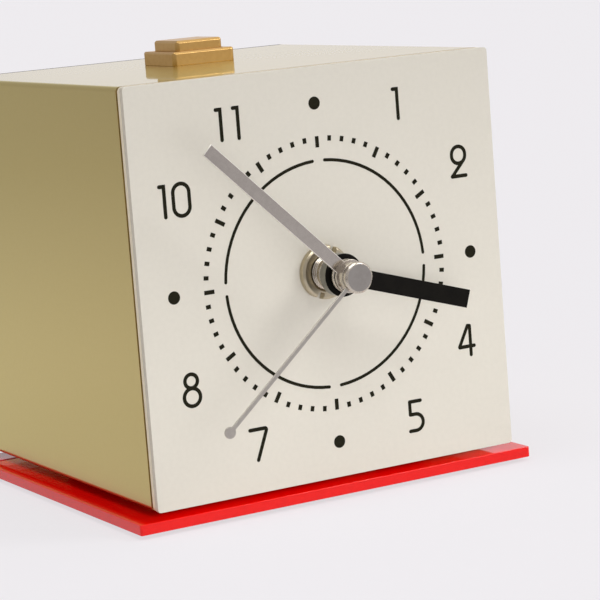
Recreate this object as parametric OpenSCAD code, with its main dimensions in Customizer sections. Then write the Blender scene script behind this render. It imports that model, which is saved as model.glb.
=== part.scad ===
// Cube-shaped analog desk clock on a flat plate, all sizes in millimetres.
// Front of the clock faces -Y, +X is right and +Z is up.
// The origin is the middle of the underside that it rests on.

/* [Body] */
// Width of the body
body_w = 96; // [92:1:120]
// Height of the body
body_h = 96; // [94:1:120]
// Depth of the body, from dial face to rear rim
body_d = 100; // [90:1:130]
// Wall of the square sleeve
sleeve_wall = 1.5; // [1:0.1:2.2]
// Outside corner radius of sleeve, carrier and rear rim
edge_r = 1.2; // [0.6:0.1:2]
// Inside corner radius of the sleeve
sleeve_inner_r = 0.5; // [0.2:0.1:1]

/* [Dial] */
// Thickness of the printed dial plate
dial_t = 1.4; // [1:0.1:2]
// Corner radius of the dial plate
dial_corner_r = 0.8; // [0.3:0.1:2]
// Radial gap between the threaded tube and the holes that it passes
tube_gap = 0.15; // [0.1:0.05:0.3]
// Distance of the hands' axis from the middle of the dial, to the right
axis_right = -0.95; // [-1.5:0.05:1.5]
// Distance of the hands' axis from the middle of the dial, upwards
axis_up = 0.7; // [-1.5:0.05:1.5]

/* [Dial carrier] */
// Thickness of the carrier's panel behind the dial plate
carrier_t = 1.3; // [1:0.1:2]
// Dark gap between the carrier's edge and the sleeve
shadow_gap = 0.7; // [0.4:0.1:1.5]
// Width of the carrier's shoulder on the sleeve's front edge
shoulder_seat = 0.7; // [0.4:0.1:0.9]
// Depth of the carrier's plug ring behind its panel
plug_depth = 9; // [6:0.5:12]
// Wall of the plug rings on carrier and rear cover
plug_wall = 2; // [1.5:0.1:3]
// Gap between a plug ring and the sleeve
plug_gap = 0.15; // [0.1:0.05:0.3]
// Thickness of the ribs behind the panel
rib_t = 1.2; // [0.8:0.1:2]
// Height of the ribs behind the panel
rib_h = 4; // [2:0.5:5]

/* [Base] */
// Thickness of the base plate
base_t = 2.5; // [2.2:0.1:5]
// Overhang of the base plate at the left and right
base_side = 4.8; // [0:0.1:12]
// Overhang of the base plate at the front and back
base_front = 0.3; // [0:0.1:8]
// Corner radius of the base plate
base_corner_r = 0.6; // [0.2:0.1:4]
// Gap between base plate and body, filled by the spacers
base_gap = 1.8; // [1:0.1:5]
// Radius of a spacer
spacer_r = 6; // [5:0.5:9]
// Distance of the base screws from the body's sides
base_screw_inset = 20; // [18:1:24]
// Radius of a base screw's shank
base_screw_r = 1.5; // [1.2:0.1:1.6]
// Radius of a base screw's countersunk head
base_screw_head_r = 3; // [2.6:0.1:3.4]
// Radius of a nut pressed into the sleeve's underside
base_nut_r = 3.5; // [3:0.1:4.5]
// Height of such a nut inside the sleeve
base_nut_h = 3.2; // [2.5:0.1:4]
// Radial gap between a fastener and its hole
hole_gap = 0.1; // [0.05:0.05:0.2]
// Thickness of the non-slip pad
pad_t = 1; // [0.6:0.1:2]
// Distance of the pad from the base plate's edges
pad_inset = 5; // [2:0.5:10]
// Corner radius of the pad
pad_corner_r = 3; // [1:0.5:8]

/* [Rear cover] */
// Thickness of the rim behind the sleeve
rear_rim_t = 1.5; // [1:0.1:3]
// Depth of the recess, from rim to floor
recess_depth = 8; // [7.5:0.5:12]
// Thickness of the recess floor
rear_floor_t = 2; // [1.5:0.1:3]
// Distance of the tie bolts from the inside of the plug walls
bolt_from_wall = 4.4; // [4:0.1:6]
// Radius of a tie bolt's shank
bolt_r = 1.5; // [1.2:0.1:1.8]
// Radius of a tie bolt's head
bolt_head_r = 2.75; // [2.4:0.05:3.2]
// Height of a tie bolt's head
bolt_head_t = 1.8; // [1.2:0.1:2.5]
// Distance of a tie bolt's tip from the carrier's panel
bolt_tip_gap = 2; // [1:0.5:3]

/* [Battery] */
// Radius of the battery
battery_r = 7.1; // [6.8:0.05:7.2]
// Length of the battery with its positive nub
battery_len = 50.5; // [49:0.1:51]
// Radius of the positive nub
battery_nub_r = 2.7; // [2.2:0.1:2.8]
// Length of the positive nub
battery_nub_len = 1.3; // [1:0.1:1.5]
// Distance of the battery's axis below the dial centre
battery_drop = 25; // [22:0.5:26]
// Gap round the battery in its bay
bay_gap = 0.5; // [0.3:0.1:0.8]
// Wall of the battery bay
bay_wall = 1.5; // [1:0.1:2]
// Thickness of the contact plates
contact_t = 0.4; // [0.3:0.1:0.6]
// Length of the negative spring with the battery in
contact_spring_len = 5.5; // [4.5:0.1:7]
// Radius of the wire of the negative spring
contact_wire_r = 0.35; // [0.25:0.05:0.4]
// Overlap of the battery door over the bay's mouth
door_overlap = 2.5; // [1.5:0.1:3]
// Thickness of the battery door
door_t = 1.6; // [1.4:0.1:2.5]
// Travel of the battery door to free its tabs
door_travel = 12; // [10:0.5:12]
// Length of a tab on the door and of the hook that holds it
tab_len = 9; // [6:0.5:10]
// Width of a tab
tab_w = 1.4; // [1:0.1:1.6]
// Thickness of a tab
tab_t = 0.8; // [0.6:0.1:1]
// Distance of the tabs from the door's middle
tab_x = 20; // [15:1:24]
// Gap between the door and what it slides on
slide_gap = 0.2; // [0.1:0.05:0.3]
// Thickness of the hooks that hold the door
hook_t = 1; // [0.8:0.1:1.4]

/* [Movement case] */
// Side of the square movement
move_w = 56; // [54:1:58]
// Corner radius of the movement
move_corner_r = 3; // [1:0.5:5]
// Walls of the movement case
move_wall = 1.5; // [1.2:0.1:2]
// Thickness of the rubber washer behind the carrier
washer_t = 0.8; // [0.5:0.1:1.2]
// Radius of the rubber washer
washer_r = 9; // [7:0.5:12]
// Radius of the threaded tube
tube_r = 4; // [3.6:0.05:4.2]
// Length of the threaded tube in front of the dial
tube_front = 5.2; // [4:0.1:5.4]
// Radius of the round mounting nut
nut_r = 6.3; // [5.6:0.1:7]
// Thickness of the mounting nut
nut_t = 2; // [1.5:0.1:3]
// Width of the two notches in the nut
notch_w = 1.6; // [1:0.1:2.2]
// Depth of the notches from the nut's rim
notch_depth = 1.5; // [1:0.1:1.8]
// Direction of the notches, clockwise from twelve
notch_angle = 22; // [0:1:180]
// Thickness of the middle plate that carries the fast wheels
plate_t = 1.1; // [0.8:0.1:1.6]
// Height of the middle plate above the hands' axis
plate_top = 20; // [19:0.5:22]
// Reach of the middle plate below the hands' axis
plate_bottom = 14; // [13:0.5:15]
// Half width of the middle plate
plate_half_w = 24; // [23:0.5:24.5]
// Radius of the posts that carry the middle plate
post_r = 2; // [1.5:0.1:2.4]
// Distance of the posts from the middle plate's sides
post_side = 3; // [2.5:0.1:4]
// Distance of the posts from the middle plate's upper and lower edges
post_edge = 4; // [3:0.1:5]

/* [Gear train] */
// Thickness of every wheel
gear_t = 1; // [0.7:0.1:1.3]
// Gap between the wheels of neighbouring layers
layer_gap = 0.4; // [0.3:0.05:0.8]
// Module of the fast wheels, from rotor to second wheel
fast_module = 0.25; // [0.23:0.01:0.26]
// Module of second pinion and third wheel
third_module = 0.3; // [0.28:0.01:0.32]
// Module of cannon pinion and motion wheel
motion_module = 0.5; // [0.46:0.01:0.52]
// Radius of the arbor of the second hand
second_r = 0.55; // [0.45:0.05:0.8]
// Radius of the tube of the minute hand
minute_r = 1.75; // [1.4:0.05:1.9]
// Radius of the tube of the hour hand
hour_r = 2.55; // [2.3:0.05:2.9]
// Radius of the other arbors
arbor_r = 0.5; // [0.4:0.05:0.6]
// Radius of the stud of the motion wheel
stud_r = 0.7; // [0.5:0.05:0.75]
// Radial gap of everything that turns in a hole
run_gap = 0.05; // [0.03:0.01:0.08]
// Depth of the blind pivot holes in the case
pivot_depth = 0.9; // [0.6:0.1:1]
// Room behind the last wheel
rear_room = 1.5; // [1:0.1:2.5]

/* [Motor] */
// Radius of the rotor's magnet
magnet_r = 2.5; // [2:0.1:2.6]
// Gap between the magnet and the stator
magnet_gap = 0.5; // [0.4:0.05:0.6]
// Thickness of the stator
stator_t = 0.8; // [0.6:0.1:1]
// Width of the stator's bar round the rotor
stator_bar = 6.9; // [6.8:0.1:7.1]
// Width of the stator's legs
stator_leg = 3; // [2:0.1:3.2]
// Distance of the coil's axis below the rotor
coil_drop = 11; // [10.5:0.1:12]
// Radius of the coil
coil_r = 2.5; // [2:0.1:2.8]
// Rim of the coil's bobbin round the winding
bobbin_rim = 0.5; // [0.3:0.1:0.8]
// Thickness of the circuit board
board_t = 0.8; // [0.6:0.1:1.2]
// Width of the circuit board
board_w = 10; // [8:0.5:11]
// Height of the circuit board
board_h = 26; // [24:0.5:27]
// Gap between the circuit board and the movement's side wall
board_gap = 3.5; // [3:0.1:4]
// Width of the chip on the circuit board
chip_w = 5; // [4:0.5:6]
// Height of the chip
chip_h = 2.5; // [2:0.5:5]
// Thickness of the chip
chip_t = 1; // [0.6:0.1:1.1]
// Radius of the quartz crystal's can
crystal_r = 1; // [0.8:0.1:1.1]
// Length of the quartz crystal's can
crystal_len = 6; // [5:0.5:7]
// Distance of the crystal from the board's edges
crystal_edge = 1; // [0.5:0.1:2]
// Distance of the two inner solder pins from the movement's middle line
pin_mid = 4; // [3:0.5:5]
// Distance between neighbouring solder pins
pin_pitch = 5; // [3:0.5:6]
// Radius of the solder pins
pin_r = 0.5; // [0.4:0.05:0.6]
// Length of the solder pins behind the movement
pin_out = 2; // [1:0.5:4]

/* [Hands] */
// Thickness of the hands
blade_t = 0.5; // [0.3:0.05:0.6]
// Height of the hour hand's face above the dial
hour_h = 9.55; // [9.3:0.05:9.8]
// Length of the hour hand from the axis
hour_len = 34.6; // [25:0.1:46]
// Width of the hour hand
hour_w = 4.3; // [2:0.1:6]
// Radius of the hour hand's boss
hour_boss_r = 4.95; // [3.6:0.05:6]
// Length of the hour hand's boss
hour_boss_len = 2.6; // [1:0.1:3.5]
// Direction of the hour hand, clockwise from twelve
hour_angle = 107.1; // [0:0.1:360]
// Height of the minute hand's face above the dial
minute_h = 12.6; // [12.4:0.1:12.7]
// Length of the minute hand from the axis
minute_len = 46.9; // [30:0.1:60]
// Width of the minute hand
minute_w = 3.15; // [2:0.05:5]
// Radius of the minute hand's boss
minute_boss_r = 3.85; // [2.8:0.05:5]
// Length of the minute hand's boss
minute_boss_len = 2.4; // [1:0.1:2.5]
// Radius of the collar in front of the minute hand
minute_collar_r = 3.4; // [2.4:0.05:3.8]
// Length of that collar
minute_collar_len = 1.9; // [0.5:0.1:2]
// Direction of the minute hand, clockwise from twelve
minute_angle = 314; // [0:0.1:360]
// Height of the second hand's face above the dial
second_h = 15.3; // [15.2:0.1:16]
// Length of the second hand to the middle of its disc
second_len = 46.1; // [30:0.1:60]
// Width of the second hand
second_w = 0.95; // [0.6:0.05:2]
// Radius of the disc at the second hand's tip
second_disc_r = 1.35; // [0.8:0.05:3]
// Radius of the second hand's boss
second_boss_r = 3.4; // [2.4:0.05:5]
// Length of the second hand's boss
second_boss_len = 0.5; // [0.5:0.05:0.6]
// Direction of the second hand, clockwise from twelve
second_angle = 229.5; // [0:0.1:360]
// Radius of the cap on the second hand
cap_r = 3.6; // [2.4:0.1:5]
// Length of the cap
cap_len = 1.2; // [1.1:0.1:4]
// Front chamfer of the cap
cap_chamfer = 0.4; // [0.1:0.05:0.5]
// Radial gap between a hand and the tube that it is pushed on
seat_gap = 0.03; // [0.01:0.01:0.05]

/* [Setting knob] */
// Radius of the setting stem
stem_r = 1.5; // [1.2:0.1:1.8]
// Radius of the stem's front pivot
stem_pivot_r = 0.8; // [0.6:0.1:1]
// Radius of the setting knob
knob_r = 7; // [5:0.5:8]
// Length of the setting knob
knob_len = 5; // [4:0.5:6]
// Gap between knob and rear cover
knob_gap = 0.5; // [0.3:0.1:1]
// Number of ridges round the knob
knob_ridges = 24; // [12:1:36]
// Depth of the knob's ridges
knob_ridge = 0.5; // [0.2:0.1:0.8]

/* [Top button] */
// Distance of the button behind the middle of the body
button_y = 11.5; // [-10:0.5:20]
// Side of the square bezel on top of the sleeve
bezel_w = 17; // [16:0.5:20]
// Corner radius of the bezel
bezel_corner_r = 1; // [0.6:0.1:2]
// Height of the bezel
bezel_t = 3.4; // [3:0.1:5]
// Chamfer round the top of the bezel
bezel_chamfer = 0.5; // [0.2:0.1:0.8]
// Floor of the bezel's pocket above the sleeve
pocket_floor = 0.6; // [0.4:0.1:0.8]
// Radius of the threaded barrel
barrel_r = 6; // [5.8:0.1:6.8]
// Length of the barrel below the bezel
barrel_len = 14; // [13.5:0.5:16]
// Floor of the barrel
barrel_floor = 2; // [1.5:0.1:3]
// Side of the square key
key_w = 12.8; // [11:0.1:13.2]
// Corner radius of the key
key_corner_r = 1; // [0.6:0.1:2]
// Height of the key
key_t = 3.2; // [2:0.1:6]
// Chamfer round the top of the key
key_chamfer = 0.6; // [0.2:0.1:1]
// Gap between the key and the pocket's sides
key_gap = 0.4; // [0.3:0.05:0.5]
// Radius of the key's stem
plunger_r = 4.5; // [4:0.1:4.6]
// Depth of the stem below the top of the sleeve
plunger_deep = 6; // [5:0.5:6.5]
// Width of the collar that keeps the stem in the barrel
collar_w = 0.4; // [0.3:0.05:0.5]
// Length of the collar
collar_len = 1; // [0.8:0.1:1.5]
// Gap round the collar
collar_gap = 0.3; // [0.2:0.05:0.4]
// Travel of the key
button_travel = 2; // [1:0.1:2.3]
// Thickness of the nut inside the sleeve
button_nut_t = 3; // [2:0.1:4]
// Radius of the nut's corners
button_nut_r = 8.6; // [8.2:0.1:10]
// Radius of the wire of the return spring
spring_wire_r = 0.3; // [0.25:0.05:0.32]
// Mean radius of the return spring
spring_r = 3.4; // [3:0.1:3.6]
// Turns of the return spring
spring_turns = 4; // [3:0.5:4]
// Distance of the two contact pins from the button's axis
button_pin_x = 1.5; // [1.2:0.1:2]

/* [Leads] */
// Radius of the leads inside the case
lead_r = 0.6; // [0.4:0.05:0.7]

/* [Hidden] */
$fn = 64;
// Overlap that makes unions and cuts clean
eps = 0.01;

// Heights in the part's own frame
base_z = pad_t;
body_z = pad_t + base_t + base_gap;
body_top = body_z + body_h;
axis_z = body_z + body_h / 2;

// Depths in the dial's frame: 0 is the dial face, + is towards the viewer
dial_back = -dial_t;
panel_back = dial_back - carrier_t;
sleeve_front = panel_back - shadow_gap;
sleeve_back = -(body_d - rear_rim_t);
floor_out = -(body_d - recess_depth);
floor_in = floor_out + rear_floor_t;
move_front = panel_back - washer_t;
front_in = move_front - move_wall;
hour_layer = front_in - layer_gap - gear_t;
motion_layer = hour_layer - layer_gap - gear_t;
minute_layer = motion_layer - layer_gap - gear_t;
third_layer = minute_layer - layer_gap - gear_t;
plate_front = third_layer - layer_gap;
plate_back = plate_front - plate_t;
second_layer = plate_back - layer_gap - gear_t;
rotor_layer = second_layer - layer_gap - gear_t;
rear_in = rotor_layer - rear_room;
move_back = rear_in - move_wall;
pin_end = move_back - pin_out;
minute_top = minute_h + minute_collar_len;

// Outlines of what fits into the sleeve
sleeve_in_w = body_w - 2 * sleeve_wall;
sleeve_in_h = body_h - 2 * sleeve_wall;
plug_w = sleeve_in_w - 2 * plug_gap;
plug_h = sleeve_in_h - 2 * plug_gap;
recess_w = plug_w - 2 * plug_wall;
recess_h = plug_h - 2 * plug_wall;
bolt_x = recess_w / 2 - bolt_from_wall;
bolt_y = recess_h / 2 - bolt_from_wall;

// Battery bay, with the battery lying along X
bay_len = battery_len + contact_spring_len + 2 * contact_t + bay_gap;
bay_w = 2 * (battery_r + bay_gap);
bay_axis = floor_out + bay_gap + battery_r;
bay_front = bay_axis + battery_r + bay_gap;
contact_out = 3;
tab_end = bay_front + bay_wall + contact_out;
door_len = bay_len + 2 * door_overlap;
door_w = bay_w + 2 * door_overlap;
door_in = floor_out - slide_gap;

// Tooth counts: 30 turns of the rotor to one of the second hand, then 60 and 12 to one
pinion_teeth = 8;
cannon_teeth = 10;
intermediate_teeth = 40;
second_teeth = 48;
third_teeth = 60;
minute_teeth = 64;
motion_teeth = 30;
hour_teeth = 32;

// Gear train: distances between arbors and their places round the hands' axis
third_dist = third_module * (pinion_teeth + third_teeth) / 2;
minute_module = 2 * third_dist / (pinion_teeth + minute_teeth);
motion_dist = motion_module * (cannon_teeth + motion_teeth) / 2;
hour_module = 2 * motion_dist / (pinion_teeth + hour_teeth);
inter_dist = fast_module * (pinion_teeth + second_teeth) / 2;
rotor_dist = fast_module * (pinion_teeth + intermediate_teeth) / 2;
third_dir = -30;
motion_dir = 135;
setting_dir = 45;
inter_dir = 210;
rotor_dir = 250;
third_at = third_dist * [cos(third_dir), sin(third_dir)];
motion_at = motion_dist * [cos(motion_dir), sin(motion_dir)];
setting_at = motion_at + motion_dist * [cos(setting_dir), sin(setting_dir)];
inter_at = inter_dist * [cos(inter_dir), sin(inter_dir)];
rotor_at = inter_at + rotor_dist * [cos(rotor_dir), sin(rotor_dir)];

// Tooth forms as [addendum, dedendum] in modules and [root, pitch, tip] half widths in pitches
wheel_form = [0.85, 1.15, 0.27, 0.21, 0.07];
pinion_form = [0.75, 1.15, 0.17, 0.17, 0.08];

// Places of posts, solder pins and stator
post_x = plate_half_w - post_side;
posts = [for (y = [plate_top - post_edge, post_edge - plate_bottom], sx = [-1, 1]) [sx * post_x, y]];
pin_x = move_w / 2 - move_wall - board_gap - board_w / 2;
pin_rows = [pin_mid + pin_pitch, pin_mid, -pin_mid, -pin_mid - pin_pitch];
stator_reach = [15, 4.6];
stator_left = rotor_at[0] - stator_reach[0];
stator_right = rotor_at[0] + stator_reach[1];
coil_y = rotor_at[1] - coil_drop;

// Button: places relative to the top of the sleeve
barrel_in = barrel_floor - barrel_len;
plunger_bottom = -plunger_deep;
collar_top = plunger_bottom + collar_len;
key_bottom = pocket_floor + button_travel + slide_gap;
button_pin_out = 5;
button_pin_top = plunger_bottom - button_travel - slide_gap;
spring_len = plunger_bottom - barrel_in;

// Routes of the leads in the dial's frame, between their pins
button_pin_y = body_h / 2 - barrel_len - button_pin_out;
button_depth = -(body_d / 2 + button_y);
contact_x = bay_len / 2 - contact_t / 2;
lead_run = 4;
solder_run = 2;
solder_x = axis_right + pin_x;
solder_at = [for (y = pin_rows) [solder_x, axis_up + y, pin_end]];
solder_from = [for (p = solder_at) p - [0, 0, solder_run]];
switch_routes = [
  [[-button_pin_x, button_pin_y, button_depth], [-button_pin_x, button_pin_y - lead_run, button_depth],
   [6, 17, -38], [solder_x, 10, -27], solder_from[0], solder_at[0]],
  [[button_pin_x, button_pin_y, button_depth], [button_pin_x, button_pin_y - lead_run, button_depth],
   [9, 14, -36], [solder_x, 5, -27], solder_from[1], solder_at[1]]
];
battery_routes = [
  [[contact_x, -battery_drop, tab_end], [contact_x, -battery_drop, tab_end + lead_run], [27, -22, -45],
   [19, -8, -30], solder_from[2], solder_at[2]],
  [[-contact_x, -battery_drop, tab_end], [-contact_x, -battery_drop, tab_end + lead_run], [-15, -31, -50],
   [5, -25, -40], [16, -14, -30], solder_from[3], solder_at[3]]
];

// Shared shapes

// Frame of the dial: X right, Y up, Z towards the viewer, zero on the dial face
module dial_frame() {
  translate([0, -body_d / 2, axis_z]) rotate([90, 0, 0]) children();
}

// Frame of the movement: the dial's frame, with zero on the axis of the hands
module movement_frame() {
  dial_frame() at_axis() children();
}

module at_axis() {
  translate([axis_right, axis_up, 0]) children();
}

// Frame of the button: Z up, zero on the top of the sleeve
module button_frame() {
  translate([0, button_y, body_top]) children();
}

module rounded_square(w, h, r) {
  square([w - 2 * r, h], center = true);
  square([w, h - 2 * r], center = true);
  for (sx = [-1, 1], sy = [-1, 1])
    translate([sx * (w / 2 - r), sy * (h / 2 - r)]) circle(r);
}

// A rounded block between two heights
module slab(w, h, r, from, to) {
  translate([0, 0, from]) linear_extrude(to - from) rounded_square(w, h, r);
}

// A round bar between two heights
module bar(r, from, to) {
  translate([0, 0, from]) cylinder(r = r, h = to - from);
}

module at_bolts() {
  for (sx = [-1, 1], sy = [-1, 1]) translate([sx * bolt_x, sy * bolt_y, 0]) children();
}

module at_base_screws() {
  for (sx = [-1, 1], sy = [-1, 1])
    translate([sx * (body_w / 2 - base_screw_inset), sy * (body_d / 2 - base_screw_inset), 0]) children();
}

// Corner points of a wheel: root, flank and tip on both sides of every tooth
function gear_points(teeth, module_size, form, phase) =
  let (pitch_r = teeth * module_size / 2, step = 360 / teeth,
       radii = [pitch_r - form[1] * module_size, pitch_r, pitch_r + form[0] * module_size],
       order = [0, 1, 2, 2, 1, 0], side = [-1, -1, -1, 1, 1, 1])
  [for (tooth = [0 : teeth - 1], k = [0 : 5])
     let (angle = phase + step * (tooth + side[k] * form[2 + order[k]]))
     radii[order[k]] * [cos(angle), sin(angle)]];

// Phase of the second of two meshing wheels, when the first has a tooth at angle zero
function mesh_phase(first_teeth, second_teeth, direction) =
  direction + 180 - (0.5 - direction * first_teeth / 360) * 360 / second_teeth;

module gear(teeth, module_size, form, phase, from) {
  translate([0, 0, from]) linear_extrude(gear_t)
    polygon(gear_points(teeth, module_size, form, phase));
}

function unit(v) = v / norm(v);

// Skin of a tube through the points, with a ring of the given sides at each, squared to side_dir
module tube(points, directions, side_dir, sides, r) {
  count = len(points);
  rings = [for (i = [0 : count - 1])
    let (t = directions[i], n = unit(cross(side_dir, t)), b = cross(t, n))
    for (k = [0 : sides - 1]) points[i] + r * (cos(360 * k / sides) * n + sin(360 * k / sides) * b)];
  skin = [for (i = [0 : count - 2], k = [0 : sides - 1])
    let (j = (k + 1) % sides, a = i * sides + k, b = i * sides + j, c = b + sides, d = a + sides)
    each [[a, d, c], [a, c, b]]];
  last = (count - 1) * sides;
  start_cap = [for (k = [1 : sides - 2]) [0, k, k + 1]];
  end_cap = [for (k = [1 : sides - 2]) [last, last + k + 1, last + k]];
  polyhedron(points = rings, faces = concat(skin, start_cap, end_cap), convexity = 10);
}

// Smooth curve through hand-chosen points
function curve_point(a, b, c, d, t) =
  0.5 * (2 * b + (c - a) * t + (2 * a - 5 * b + 4 * c - d) * t * t + (3 * b - a - 3 * c + d) * t * t * t);
function curve(p, steps) =
  let (n = len(p))
  [for (i = [0 : n - 2], s = [0 : (i == n - 2 ? steps : steps - 1)])
     curve_point(p[max(i - 1, 0)], p[i], p[i + 1], p[min(i + 2, n - 1)], s / steps)];
function tangents(p) =
  let (n = len(p)) [for (i = [0 : n - 1]) unit(p[min(i + 1, n - 1)] - p[max(i - 1, 0)])];

// A lead leaves its first point and enters its last one square to the pin there
module lead(route) {
  path = curve(route, 4);
  along = tangents(path);
  n = len(path);
  m = len(route);
  ends = [unit(route[1] - route[0]), unit(route[m - 1] - route[m - 2])];
  directions = [for (i = [0 : n - 1]) i == 0 ? ends[0] : i == n - 1 ? ends[1] : along[i]];
  tube(path, directions, [0.9, 0.4, 0.1], 8, lead_r);
}

// Points of a spring that winds up along Z between two radii, eight to a turn
function coil_points(r_low, r_high, wire_r, length, turns) =
  let (n = round(turns * 8))
  [for (i = [0 : n])
     let (f = i / n, r = r_low + (r_high - r_low) * f)
     [r * cos(45 * i), r * sin(45 * i), wire_r + (length - 2 * wire_r) * f]];

// Least gap between points of a spring that lie more than half a turn apart
function least_gap(p, wire_r) =
  min([for (i = [0 : len(p) - 5], j = [i + 4 : len(p) - 1]) norm(p[i] - p[j])]) - 2 * wire_r;

module spring(r_low, r_high, wire_r, length, turns) {
  path = coil_points(r_low, r_high, wire_r, length, turns);
  echo(spring_least_gap = least_gap(path, wire_r));
  tube(path, tangents(path), [0, 0, 1], 6, wire_r);
}

// Base

module base_pad() {
  color("dimgray")
    slab(body_w + 2 * (base_side - pad_inset), body_d + 2 * (base_front - pad_inset), pad_corner_r, 0, pad_t);
}

module base_plate() {
  hole_r = base_screw_r + hole_gap;
  head_r = base_screw_head_r + hole_gap;
  color("red") difference() {
    slab(body_w + 2 * base_side, body_d + 2 * base_front, base_corner_r, base_z, base_z + base_t);
    at_base_screws() {
      bar(hole_r, base_z - eps, base_z + base_t + eps);
      translate([0, 0, base_z - eps]) cylinder(r1 = head_r + eps, r2 = hole_r, h = head_r - hole_r + eps);
    }
  }
}

module base_spacers() {
  color("black") at_base_screws() difference() {
    bar(spacer_r, base_z + base_t, body_z);
    bar(base_screw_r + hole_gap, base_z + base_t - eps, body_z + eps);
  }
}

module base_screws() {
  color("silver") at_base_screws() {
    bar(base_screw_r, base_z, body_z + sleeve_wall + base_nut_h);
    translate([0, 0, base_z])
      cylinder(r1 = base_screw_head_r, r2 = base_screw_r, h = base_screw_head_r - base_screw_r);
  }
}

module base_nuts() {
  color("silver") at_base_screws() difference() {
    bar(base_nut_r, body_z + sleeve_wall, body_z + sleeve_wall + base_nut_h);
    bar(base_screw_r + hole_gap, body_z, body_z + sleeve_wall + base_nut_h + eps);
  }
}

// Body

module case_sleeve() {
  color("darkkhaki") difference() {
    dial_frame() difference() {
      slab(body_w, body_h, edge_r, sleeve_back, sleeve_front);
      slab(sleeve_in_w, sleeve_in_h, sleeve_inner_r, sleeve_back - eps, sleeve_front + eps);
    }
    at_base_screws() bar(base_screw_r + hole_gap, body_z - eps, body_z + sleeve_wall + eps);
    button_frame() bar(barrel_r + hole_gap, -sleeve_wall - eps, eps);
  }
}

module dial_plate() {
  color("antiquewhite") dial_frame() difference() {
    slab(body_w, body_h, dial_corner_r, dial_back, 0);
    at_axis() bar(tube_r + tube_gap, dial_back - eps, eps);
  }
}

module dial_carrier() {
  ring_end = panel_back - plug_depth;
  rib_start = move_w / 2 + 2;
  boss_r = bolt_from_wall + plug_wall / 4;
  shoulder_w = sleeve_in_w + 2 * shoulder_seat;
  shoulder_h = sleeve_in_h + 2 * shoulder_seat;
  color("cornsilk") dial_frame() difference() {
    union() {
      slab(body_w, body_h, edge_r, panel_back, dial_back);
      difference() {
        union() {
          slab(shoulder_w, shoulder_h, edge_r, sleeve_front, panel_back + eps);
          slab(plug_w, plug_h, edge_r, ring_end, panel_back + eps);
        }
        slab(recess_w, recess_h, edge_r, ring_end - eps, panel_back);
      }
      at_bolts() bar(boss_r, ring_end, panel_back + eps);
      for (turn = [0, 180])
        rotate(turn) {
          translate([rib_start, -rib_t / 2, panel_back - rib_h])
            cube([recess_w / 2 - rib_start + eps, rib_t, rib_h + eps]);
          translate([-rib_t / 2, rib_start, panel_back - rib_h])
            cube([rib_t, recess_h / 2 - rib_start + eps, rib_h + eps]);
        }
    }
    at_axis() bar(tube_r + tube_gap, ring_end, eps);
    at_bolts() bar(bolt_r + hole_gap, ring_end - eps, panel_back - bolt_tip_gap / 2);
  }
}

// Hooks that hold the tabs of the battery door
module door_hooks() {
  lip_out = door_in - tab_t - slide_gap;
  for (sx = [-1, 1], sy = [-1, 1])
    translate([sx * tab_x - tab_len / 2, -battery_drop, 0]) mirror([0, sy < 0 ? 1 : 0, 0]) {
      translate([0, door_w / 2 + tab_w + slide_gap, lip_out - hook_t])
        cube([tab_len, hook_t, floor_out + eps - lip_out + hook_t]);
      translate([0, door_w / 2 + slide_gap, lip_out - hook_t])
        cube([tab_len, tab_w + hook_t, hook_t]);
    }
}

module rear_cover() {
  bay_out_len = bay_len + 2 * bay_wall;
  bay_out_w = bay_w + 2 * bay_wall;
  color("dimgray") dial_frame() difference() {
    union() {
      difference() {
        union() {
          slab(body_w, body_h, edge_r, -body_d, sleeve_back);
          slab(plug_w, plug_h, edge_r, sleeve_back - eps, floor_in);
        }
        slab(recess_w, recess_h, edge_r, -body_d - eps, floor_out);
      }
      translate([-bay_out_len / 2, -battery_drop - bay_out_w / 2, floor_out + eps])
        cube([bay_out_len, bay_out_w, bay_front + bay_wall - floor_out - eps]);
      door_hooks();
    }
    translate([-bay_len / 2, -battery_drop - bay_w / 2, floor_out - eps])
      cube([bay_len, bay_w, bay_front - floor_out + eps]);
    for (sx = [-1, 1])
      translate([sx * contact_x, -battery_drop, bay_front + bay_wall / 2])
        cube([contact_t + 2 * hole_gap, battery_r + 2 * hole_gap, 2 * bay_wall], center = true);
    at_bolts() bar(bolt_r + hole_gap, floor_out - eps, floor_in + eps);
    at_axis() translate([setting_at[0], setting_at[1], 0])
      bar(stem_r + run_gap, floor_out - eps, floor_in + eps);
  }
}

module tie_bolts() {
  color("silver") dial_frame() at_bolts() {
    bar(bolt_r, floor_out - eps, panel_back - bolt_tip_gap);
    difference() {
      bar(bolt_head_r, floor_out - bolt_head_t, floor_out);
      translate([0, 0, floor_out - bolt_head_t]) cube([2 * bolt_r, bolt_r / 2, bolt_head_t], center = true);
    }
  }
}

// Battery

// Frame of the battery: Z along the battery, zero in the middle of its bay
module battery_frame() {
  dial_frame() translate([0, -battery_drop, bay_axis]) rotate([0, 90, 0]) children();
}

module battery() {
  start = -bay_len / 2 + contact_t + contact_spring_len;
  color("goldenrod") battery_frame() {
    bar(battery_r, start, start + battery_len - battery_nub_len);
    bar(battery_nub_r, start, start + battery_len);
  }
}

module battery_contacts() {
  width = battery_r;
  color("silver") dial_frame() for (sx = [-1, 1])
    translate([sx * contact_x, -battery_drop, (bay_axis - battery_r + tab_end) / 2])
      cube([contact_t, width, tab_end - bay_axis + battery_r], center = true);
}

module battery_spring() {
  color("silver") battery_frame() translate([0, 0, -bay_len / 2 + contact_t])
    spring(battery_r - 2, battery_nub_r, contact_wire_r, contact_spring_len, 4);
}

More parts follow.
